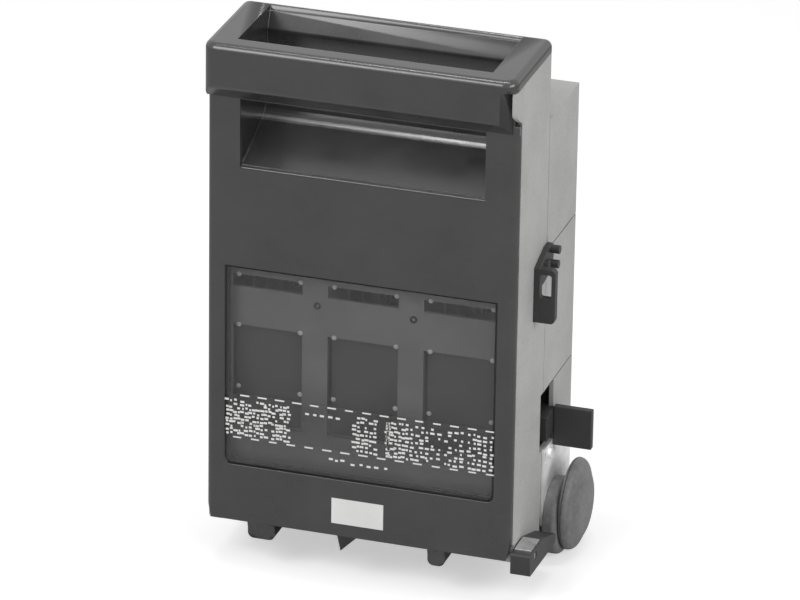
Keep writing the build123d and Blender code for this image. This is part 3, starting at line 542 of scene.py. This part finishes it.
grid_mesh = built_mesh(grid_tree(), {
    "Low": device_place(-grid_half_width, grid_y[0], grid_z[0]),
    "High": device_place(grid_half_width, grid_y[1], grid_z[1]),
    "Pitch": pole_pitch,
    "Shift": window_shift,
    "Window Width": window_width,
    "Upper Foot": device_place(0, 0, upper_window_z[0]).z,
    "Upper Top": device_place(0, 0, upper_window_z[1]).z,
    "Lower Foot": device_place(0, 0, lower_window_z[0]).z,
    "Lower Top": device_place(0, 0, lower_window_z[1]).z,
    "Finish": grid_plate,
})
fuse_window_grid = built_piece("fuse_window_grid", [grid_mesh], grid_plate, "swing_cover")
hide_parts("fuse_grid")


# Rivets at the corners of the windows, with a painted glint
# Small domed heads whose near-white colour is a painted highlight of their glint, six for each pole: two over
# each window and two lower down.
# Near-white colour of the rivet heads: painted highlight in place of the glint on each head.
rivet_glint_white = plastic(
    "rivet_glint_white",
    dark=(0.88, 0.88, 0.88),
    light=(0.96, 0.96, 0.96),
    worn=(0.96, 0.96, 0.96),
    roughness=(0.3, 0.4),
    grain_size=0.0006,
    grain_depth=0.00001,
    edge_radius=0.0001,
)
rivet_x = 0.0202
rivet_z = (0.1643, 0.13, 0.088)
rivet_radius = 0.0016


def rivet_tree():
    """Domed heads in one row, two for each pole."""
    sizes = {"First": "Vector", "Width": "Float", "Radius": "Float", "Pitch": "Float"}
    tree, given, made = new_tree("rivet_row", sizes)
    half = maths(tree, "MULTIPLY", given["Width"], 0.5)
    step = add_node(tree, "ShaderNodeCombineXYZ", {"X": given["Pitch"]}).outputs[0]
    sides = add_node(tree, "GeometryNodeJoinGeometry")
    for sign in (-1.0, 1.0):
        aside = add_node(tree, "ShaderNodeCombineXYZ", {"X": maths(tree, "MULTIPLY", half, sign)}).outputs[0]
        start = add_node(tree, "ShaderNodeVectorMath", {0: given["First"], 1: aside}, operation="ADD")
        line = add_node(tree, "GeometryNodeMeshLine", {
            "Count": pole_count, "Start Location": start.outputs[0], "Offset": step,
        })
        tree.links.new(line.outputs["Mesh"], sides.inputs["Geometry"])
    ball_sizes = {"Segments": 16, "Rings": 10, "Radius": given["Radius"]}
    ball = add_node(tree, "GeometryNodeMeshUVSphere", ball_sizes).outputs["Mesh"]
    flat = add_node(tree, "GeometryNodeTransform", {"Geometry": ball, "Scale": (1.0, 0.5, 1.0)})
    smooth = add_node(tree, "GeometryNodeSetShadeSmooth", {"Geometry": flat.outputs["Geometry"]})
    heads = add_node(tree, "GeometryNodeInstanceOnPoints", {
        "Points": sides.outputs["Geometry"], "Instance": smooth.outputs["Geometry"],
    })
    end_tree(tree, heads.outputs["Instances"], given, made)
    return tree


rivet_row = rivet_tree()
rivet_meshes = [built_mesh(rivet_row, {
    "First": device_place(-pole_pitch, grid_y[0], height),
    "Width": 2 * rivet_x,
    "Radius": rivet_radius,
    "Pitch": pole_pitch,
    "Finish": rivet_glint_white,
}) for height in rivet_z]
window_rivets = built_piece("window_rivets", rivet_meshes, rivet_glint_white, "swing_cover")
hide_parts("grid_rivets")


# Fronts of the fuse-links
# Dark printed film on the front of each ceramic body; it is what the windows show.
film_y = (0.01615, 0.0163)
film_width = 0.0465
film_height = 0.066
film_middle_z = 0.095
dark_film = plastic(
    "dark_film",
    dark=(0.09, 0.09, 0.09),
    light=(0.12, 0.12, 0.12),
    worn=(0.1, 0.1, 0.1),
    roughness=(0.4, 0.6),
    grain_size=0.002,
    grain_depth=0.000005,
    edge_radius=0.0001,
)
finish_nodes(dark_film, "fuse_indicators")


def mark_tree():
    """Flat marks on a rectangle of points in the front plane, some left out and each of its own length."""
    tree, given, made = new_tree("printed_marks", {
        "Place": "Vector", "Width": "Float", "Height": "Float", "Columns": "Int", "Rows": "Int",
        "Mark": "Vector", "Shortest": "Float", "Kept": "Float", "Shift": "Vector", "Seed": "Int",
    })
    grid = add_node(tree, "GeometryNodeMeshGrid", {
        "Size X": given["Width"], "Size Y": given["Height"],
        "Vertices X": given["Columns"], "Vertices Y": given["Rows"],
    })
    upright = add_node(tree, "GeometryNodeTransform", {
        "Geometry": grid.outputs["Mesh"], "Translation": given["Place"], "Rotation": (math.pi / 2, 0.0, 0.0),
    })
    # The sockets of a random value node share their names, so they go by number.
    random_number, low_number, high_number = 1, 2, 3
    draw = add_node(tree, "FunctionNodeRandomValue", {"Seed": given["Seed"]}, data_type="FLOAT")
    limits = {0: draw.outputs[random_number], 1: given["Kept"]}
    dropped = add_node(tree, "FunctionNodeCompare", limits, data_type="FLOAT", operation="GREATER_THAN")
    kept = add_node(tree, "GeometryNodeDeleteGeometry", {
        "Geometry": upright.outputs["Geometry"], "Selection": dropped.outputs[0],
    }, domain="POINT", mode="ALL")
    back = add_node(tree, "ShaderNodeVectorMath", {0: given["Shift"], "Scale": -1.0}, operation="SCALE")
    sides = {0: back.outputs[0], 1: given["Shift"], "Seed": given["Seed"]}
    aside = add_node(tree, "FunctionNodeRandomValue", sides, data_type="FLOAT_VECTOR").outputs[0]
    moved = add_node(tree, "GeometryNodeSetPosition", {"Geometry": kept.outputs["Geometry"], "Offset": aside})
    range_of_length = {low_number: given["Shortest"], high_number: 1.0, "Seed": given["Seed"]}
    lengths = add_node(tree, "FunctionNodeRandomValue", range_of_length, data_type="FLOAT")
    along = {"X": lengths.outputs[random_number], "Y": 1.0, "Z": 1.0}
    scale = add_node(tree, "ShaderNodeCombineXYZ", along).outputs[0]
    mark = add_node(tree, "GeometryNodeMeshCube", {"Size": given["Mark"]}).outputs["Mesh"]
    marks = add_node(tree, "GeometryNodeInstanceOnPoints", {
        "Points": moved.outputs["Geometry"], "Instance": mark, "Scale": scale,
    })
    end_tree(tree, marks.outputs["Instances"], given, made)
    return tree


printed_marks = mark_tree()
film_mesh = built_mesh(printed_marks, {
    "Place": device_place(0, sum(film_y) / 2, film_middle_z),
    "Width": 2 * pole_pitch,
    "Height": 0.0,
    "Columns": pole_count,
    "Rows": 1,
    "Mark": (film_width, film_y[1] - film_y[0], film_height),
    "Shortest": 1.0,
    "Kept": 1.0,
    "Shift": (0.0, 0.0, 0.0),
    "Seed": 0,
    "Finish": dark_film,
})
built_piece("fuse_front_films", [film_mesh], dark_film, "swing_cover")


# Name label and rating plate
# Thin printed film: the label is bare, and the plate holds plain dashes and flecks without
# any writing, in two borders, nine blocks and three short rows.
white_film = plastic(
    "white_film",
    dark=(0.74, 0.74, 0.73),
    light=(0.82, 0.82, 0.81),
    worn=(0.6, 0.6, 0.6),
    roughness=(0.35, 0.5),
    grain_size=0.002,
    grain_depth=0.00001,
    edge_radius=0.0001,
)
finish_nodes(white_film, "name_label")
plate_film = clear_sheet("plate_film", haze=(0.2, 0.3), dark=(0.1, 0.1, 0.1), light=(0.14, 0.14, 0.14))
finish_nodes(plate_film, "rating_plate")
print_y = 0.00062
print_thickness = 0.00006
block_middle_z = 0.0712
block_height = 0.0225
dash_size = (0.0062, 0.0010)
dashes_in_border = 15
fleck_size = (0.003, 0.0014)
# Each border has its left and right end and its height.
print_borders = [(-0.075, 0.085, 0.0866), (-0.08, 0.086, 0.0573)]
# Each block has its left and right end, its columns and rows, and the share of flecks kept.
print_blocks = [
    (-0.0865, -0.046, 17, 10, 0.75),
    (-0.003, 0.0105, 6, 9, 0.85),
    (0.0188, 0.0195, 2, 12, 1.0),
    (0.0215, 0.0315, 5, 9, 0.85),
    (0.0345, 0.048, 5, 9, 0.8),
    (0.052, 0.0565, 2, 8, 0.5),
    (0.0595, 0.067, 3, 9, 0.9),
    (0.072, 0.0785, 3, 9, 0.85),
    (0.082, 0.0865, 2, 9, 0.9),
]
# Each short row has its left and right end, its height and its flecks.
print_rows = [(-0.034, -0.014, 0.0805, 5), (-0.0185, -0.0105, 0.0515, 3), (-0.004, 0.0175, 0.0505, 5)]
print_meshes = []


def add_print(left, right, z, mark, columns, rows=1, height=0.0, shortest=1.0, kept=1.0, shift=0.0):
    """Adds one rectangle of marks to the print."""
    print_meshes.append(built_mesh(printed_marks, {
        "Place": device_place((left + right) / 2, print_y, z),
        "Width": right - left,
        "Height": height,
        "Columns": columns,
        "Rows": rows,
        "Mark": (mark[0], print_thickness, mark[1]),
        "Shortest": shortest,
        "Kept": kept,
        "Shift": (shift, 0.0, shift),
        "Seed": len(print_meshes),
        "Finish": white_film,
    }))


for left, right, z in print_borders:
    add_print(left, right, z, dash_size, dashes_in_border, shortest=0.8, shift=0.0001)
for left, right, columns, rows, kept in print_blocks:
    add_print(left, right, block_middle_z, fleck_size, columns, rows, block_height,
              shortest=0.35, kept=kept, shift=0.0006)
for left, right, z, columns in print_rows:
    add_print(left, right, z, fleck_size, columns, shortest=0.6, shift=0.0005)
built_piece("plate_print", print_meshes, white_film, "swing_cover")


# Rounded cap on the right side with its ring
# Dull grey moulding, handled and scuffed.
grey_cap = plastic(
    "grey_cap",
    dark=(0.13, 0.13, 0.13),
    light=(0.21, 0.21, 0.21),
    worn=(0.3, 0.3, 0.3),
    roughness=(0.45, 0.65),
    grain_size=0.003,
    grain_depth=0.00015,
    edge_radius=0.0008,
    fleck=1.6,
)
finish_nodes(grey_cap, "side_cap", "side_cap_ring")


# Auxiliary switch on the side bracket
# Black two-part housing: a flange over the edge of the cut-out and a small body behind it.
soft_edge = 0.0007
switch_x = (0.1015, 0.1268)
switch_body_x = (switch_x[0], 0.1135)
flange_y = (0.084, 0.089)
switch_body_y = (flange_y[1], 0.099)
flange_z = (0.0437, 0.0705)
switch_body_z = (0.045, 0.065)
flange_mesh = prism("switch_flange", rectangle(switch_x, flange_y), *flange_z, upright=True)
body_mesh = prism("switch_body", rectangle(switch_body_x, switch_body_y), *switch_body_z, upright=True)
switch_flange = new_piece("switch_flange", flange_mesh, dark_fitting)
switch_body = new_piece("switch_body", body_mesh, dark_fitting)
for piece in (switch_flange, switch_body):
    edges = piece.modifiers.new("soft_edges", "BEVEL")
    edges.width = soft_edge
    edges.segments = 2
    edges.limit_method = "ANGLE"
    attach(piece, "housing")
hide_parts("switch_housing")


# Insulation: pole partitions and arc chambers
# Pressed board with a coarse matt face, hidden behind the cover while it is shut.
insulation_board = plastic(
    "insulation_board",
    dark=(0.5, 0.47, 0.4),
    light=(0.6, 0.57, 0.5),
    worn=(0.7, 0.68, 0.62),
    roughness=(0.7, 0.85),
    grain_size=0.0005,
    grain_depth=0.0001,
    edge_radius=0.0002,
)
finish_nodes(
    insulation_board, "pole_partitions", "arc_chamber_left", "arc_chamber_middle", "arc_chamber_right",
)


# Fuse-links, contacts and other metal parts
# Unglazed ceramic bodies with silvered caps and blades; the contacts are silvered too.
# Screws and shaft are zinc plated, the side bracket is galvanised, springs and arc plates
# are bare steel.
ceramic = plastic(
    "ceramic",
    dark=(0.6, 0.58, 0.54),
    light=(0.7, 0.68, 0.64),
    worn=(0.75, 0.74, 0.7),
    roughness=(0.6, 0.75),
    grain_size=0.0004,
    grain_depth=0.00004,
    edge_radius=0.0004,
)
finish_nodes(ceramic, "fuse_body_left", "fuse_body_middle", "fuse_body_right")


def metal(name, dark, light, roughness, edge_radius):
    """Bare or plated metal: drift of tone and gloss, faint grain, soft edges."""
    material, tree, surface = new_material(name)
    grain = use_group(tree, moulded_grain, Grain_Size=0.0008, Drift_Size=0.012).outputs
    edges = use_group(tree, edge_wear, Edge_Radius=edge_radius).outputs
    colour = mix_colour(tree, spread(tree, grain["Drift"], 0.0, 1.0), dark, light)
    tree.links.new(colour, surface["Base Color"])
    tree.links.new(spread(tree, grain["Drift"], *roughness), surface["Roughness"])
    bump = add_node(tree, "ShaderNodeBump", {
        "Height": grain["Height"],
        "Distance": 0.00002,
        "Normal": edges["Normal"],
    })
    tree.links.new(bump.outputs["Normal"], surface["Normal"])
    surface["Metallic"].default_value = 1.0
    return material


silvered = metal(
    "silvered",
    dark=(0.72, 0.68, 0.62),
    light=(0.85, 0.81, 0.75),
    roughness=(0.25, 0.4),
    edge_radius=0.0003,
)
finish_nodes(
    silvered, "fuse_caps_left", "fuse_caps_middle", "fuse_caps_right", "fuse_blades",
    "upper_contact_bars", "lower_contact_bars", "upper_jaws", "lower_jaws",
)
zinc = metal(
    "zinc",
    dark=(0.6, 0.6, 0.6),
    light=(0.78, 0.78, 0.78),
    roughness=(0.22, 0.4),
    edge_radius=0.0003,
)
finish_nodes(
    zinc, "hinge_shaft", "mounting_bushes", "contact_screws", "terminal_bolts", "terminal_washers",
    "terminal_nuts", "frame_screws",
)
galvanised = metal(
    "galvanised",
    dark=(0.8, 0.8, 0.8),
    light=(0.95, 0.95, 0.95),
    roughness=(0.5, 0.65),
    edge_radius=0.0002,
)
finish_nodes(galvanised, "side_bracket", "bracket_screws")
spring_steel = metal(
    "spring_steel",
    dark=(0.35, 0.35, 0.36),
    light=(0.5, 0.5, 0.51),
    roughness=(0.3, 0.45),
    edge_radius=0.0002,
)
finish_nodes(spring_steel, "jaw_springs", "arc_plates", "switch_spring")


# Arm on the right end of the hinge shaft with its bright plate
# The moulded arm and the plate are a little wider than the plain solids they stand for.
arm_inner = 0.1003
arm_stretch = 12.8 / 10.7


def widened(name, node, material):
    """Piece with a copy of a CAD node's mesh that is wider away from the side wall."""
    mesh = nodes[node].data.copy()
    for vertex in mesh.vertices:
        if vertex.co.x > arm_inner:
            vertex.co.x = arm_inner + (vertex.co.x - arm_inner) * arm_stretch
    piece = new_piece(name, mesh, material)
    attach(piece, "swing_cover")
    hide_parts(node)


widened("wide_arm", "switch_arm", dark_fitting)
widened("wide_arm_plate", "arm_plate", zinc)


# Floor, light and camera
# Pale floor under the device, three soft lamps and a white world; the camera stands at the
# photograph's angle. Floor and world look whiter to the camera than they light the device.
def floor_material():
    """Matt pale floor that glows a little, but only where the camera sees it."""
    glow = 0.5
    material, tree, surface = new_material("pale_floor")
    surface["Base Color"].default_value = (0.7, 0.7, 0.7, 1.0)
    surface["Roughness"].default_value = 0.9
    surface["Emission Color"].default_value = (1.0, 1.0, 1.0, 1.0)
    ways = add_node(tree, "ShaderNodeLightPath").outputs
    seen = maths(tree, "MAXIMUM", ways["Is Camera Ray"], ways["Is Transmission Ray"])
    tree.links.new(maths(tree, "MULTIPLY", seen, glow), surface["Emission Strength"])
    return material


floor_half_size = 6.0
floor_gap = 0.0005
floor_mesh = bpy.data.meshes.new("floor")
shape = bmesh.new()
bmesh.ops.create_grid(shape, x_segments=1, y_segments=1, size=floor_half_size)
shape.to_mesh(floor_mesh)
shape.free()
floor = new_piece("floor", floor_mesh, floor_material())
floor.location.z = cad_low.z - floor_gap


def area_lamp(name, place, aim, size, power):
    """Rectangular lamp that shines from one place at another."""
    lamp = bpy.data.lights.new(name, "AREA")
    lamp.shape = "RECTANGLE"
    lamp.size, lamp.size_y = size
    lamp.energy = power
    holder = new_object(name, lamp)
    holder.location = place
    holder.rotation_euler = (Vector(aim) - Vector(place)).to_track_quat("-Z", "Y").to_euler()


area_lamp("key", place=(-0.9, -1.6, 1.5), aim=(0, -0.08, 0), size=(1.2, 1.0), power=22.0)
area_lamp("side_fill", place=(1.7, -0.7, 0.9), aim=(0, -0.08, 0.1), size=(1.2, 0.8), power=15.0)
area_lamp("overhead", place=(0.05, -0.11, 1.5), aim=(0.05, -0.1, 0), size=(1.0, 0.12), power=7.0)

world_light = 0.35
world_seen = 1.0
world = bpy.data.worlds.new("studio")
bpy.context.scene.world = world
world.use_nodes = True
tree = world.node_tree
ways = add_node(tree, "ShaderNodeLightPath").outputs
seen = maths(tree, "MAXIMUM", ways["Is Camera Ray"], ways["Is Glossy Ray"])
seen = maths(tree, "MAXIMUM", seen, ways["Is Transmission Ray"])
levels = {"Value": seen, "To Min": world_light, "To Max": world_seen}
background = tree.nodes["Background"].inputs
tree.links.new(add_node(tree, "ShaderNodeMapRange", levels).outputs["Result"], background["Strength"])
background["Color"].default_value = (1.0, 1.0, 1.0, 1.0)

camera_turn = math.radians(17.455)
camera_rise = math.radians(23.74)
camera_roll = math.radians(0.9)
camera_aim = Vector((0.00866, -0.07459, 0.01471))
camera_distance = 4.0578
camera_data = bpy.data.cameras.new("camera")
camera_data.lens = 292.5
camera_data.sensor_width = 36.0
camera_data.clip_end = 50.0
camera = new_object("camera", camera_data)
back = Vector((
    math.sin(camera_turn) * math.cos(camera_rise),
    -math.cos(camera_turn) * math.cos(camera_rise),
    math.sin(camera_rise),
))
camera.location = camera_aim + back * camera_distance
facing = (-back).to_track_quat("-Z", "Y").to_matrix().to_4x4()
camera.rotation_euler = (facing @ Matrix.Rotation(camera_roll, 4, "Z")).to_euler()
bpy.context.scene.camera = camera
bpy.context.scene.view_settings.view_transform = "Standard"
